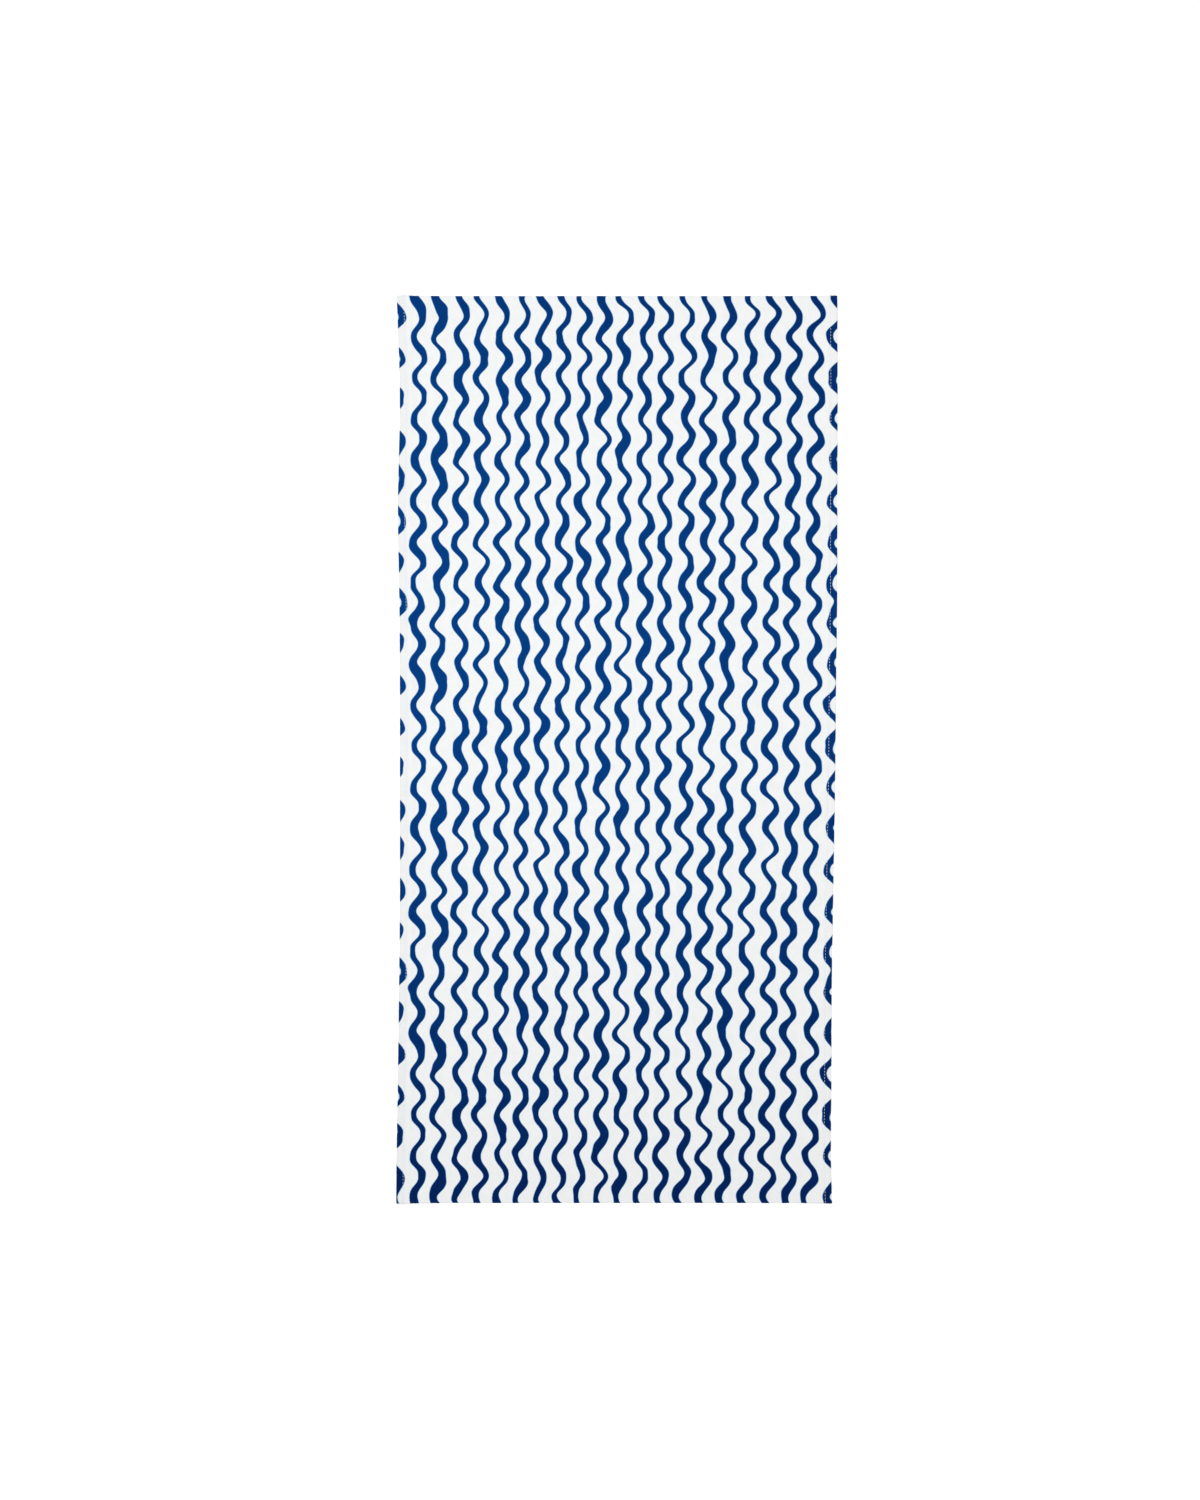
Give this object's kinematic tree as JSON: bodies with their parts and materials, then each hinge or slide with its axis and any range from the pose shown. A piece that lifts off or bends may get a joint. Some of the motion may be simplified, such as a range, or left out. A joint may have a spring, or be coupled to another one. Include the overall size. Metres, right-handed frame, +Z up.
{
  "type": "travel towel",
  "caption": "Thin oblong travel towel with stitched hems along both long edges, lying flat and open, for drying hands, hair and body.",
  "frame": {"origin": "on the surface that the towel lies on, under the middle of its outline", "axes": "+X across the towel, +Y along its length towards the head end, +Z up out of its printed face"},
  "size_m": [0.389, 0.8, 0.0023],
  "materials": {
    "printed_cloth": "matt white woven cloth with a fine smooth nap, printed on its face with blue wavy stripes"
  },
  "bodies": {
    "root": {"towel": "printed_cloth"}
  },
  "joints": []
}
